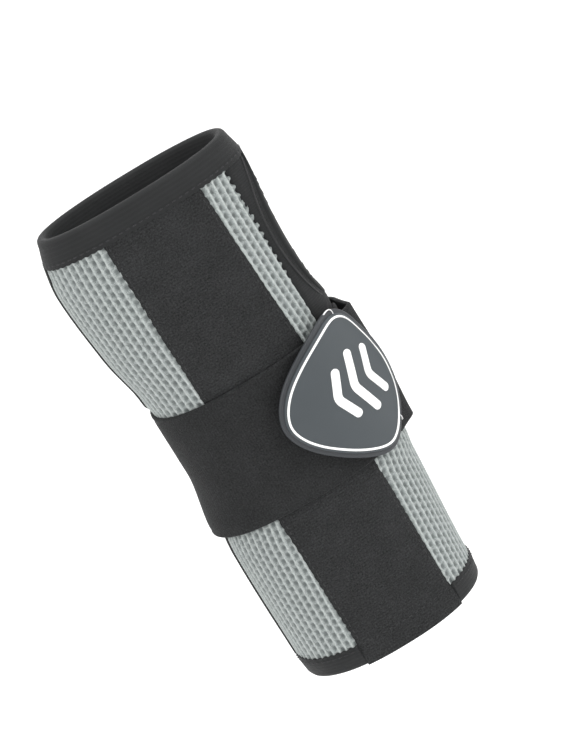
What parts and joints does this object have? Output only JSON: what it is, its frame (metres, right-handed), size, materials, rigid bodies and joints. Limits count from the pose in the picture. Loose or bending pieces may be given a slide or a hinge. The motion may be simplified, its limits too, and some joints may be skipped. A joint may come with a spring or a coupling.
{
  "type": "wrist splint",
  "caption": "Right-hand wrist splint: a knitted sleeve with a thumb opening, a palm pocket with a sliding stay, and a wrap strap with a moulded pull tab.",
  "frame": {"origin": "middle of the forearm opening, on the plane of the forearm rim", "axes": "+Z along the arm towards the fingers, palm faces -Y, thumb side +X"},
  "size_m": [0.1002, 0.0742, 0.215],
  "materials": {
    "lining": "matt knitted lining",
    "spacer_mesh": "satin light grey spacer mesh with oval pits",
    "brushed_loop": "matt brushed loop",
    "stretch_fabric": "matt stretch knit",
    "binding": "soft folded binding with a faint sheen",
    "thread": "twisted polyester thread",
    "strap_loop": "brushed elastic loop webbing",
    "hook_tape": "moulded hook tape",
    "stay_plate": "satin rolled plate",
    "stay_dip": "dipped vinyl",
    "tab_rim": "matt moulded rubber",
    "tab_face": "soft-touch moulded rubber",
    "tab_mark": "white moulded rubber"
  },
  "bodies": {
    "sleeve": {"palmar_lining": "lining", "dorsal_lining": "lining", "ulnar_mesh_panel": "spacer_mesh", "radial_mesh_panel": "spacer_mesh", "pocket_backing": "lining", "stay_pocket_panel": "brushed_loop", "pocket_mouth_hem": "binding", "thumb_panel": "stretch_fabric", "dorsal_stretch_panel": "stretch_fabric", "ulnar_seam_piping": "binding", "radial_seam_piping": "binding", "distal_binding": "binding", "proximal_binding": "binding", "thumb_binding": "binding", "distal_binding_stitching": "thread", "proximal_binding_stitching": "thread", "pocket_hem_stitching": "thread", "pocket_seam_stitching": "thread", "thumb_panel_stitching": "thread", "wrist_strap_front": "strap_loop", "strap_anchor_stitching": "thread"},
    "stay": {"palmar_stay": "stay_plate", "stay_tip_proximal": "stay_dip", "stay_tip_distal": "stay_dip"},
    "strap_dorsal": {"wrist_strap_dorsal": "strap_loop"},
    "strap_radial": {"wrist_strap_radial": "strap_loop"},
    "strap_end": {"wrist_strap_end": "strap_loop", "hook_pad": "hook_tape", "tab_base": "tab_rim", "tab_face": "tab_face", "tab_outline": "tab_mark", "tab_chevrons": "tab_mark"}
  },
  "joints": [
    {"name": "stay_slide", "type": "slide", "parent": "sleeve", "child": "stay", "axis": [0, 0, -1], "range_m": [0, 0.186]},
    {"name": "strap_dorsal_hinge", "type": "hinge", "parent": "sleeve", "child": "strap_dorsal", "pos_m": [-0.0331, 0.0172, 0.1015], "axis": [0, 0, 1], "range_deg": [0, 40]},
    {"name": "strap_radial_hinge", "type": "hinge", "parent": "strap_dorsal", "child": "strap_radial", "pos_m": [0.02514, 0.0255, 0.1015], "axis": [0, 0, 1], "range_deg": [0, 60]},
    {"name": "strap_end_hinge", "type": "hinge", "parent": "strap_radial", "child": "strap_end", "pos_m": [0.04577, 0.00731, 0.1015], "axis": [0, 0, 1], "range_deg": [0, 110]}
  ],
  "couplings": [
    {"joint": "strap_radial_hinge", "follows": "strap_dorsal_hinge", "ratio": 1.5},
    {"joint": "strap_end_hinge", "follows": "strap_dorsal_hinge", "ratio": 2.75}
  ]
}
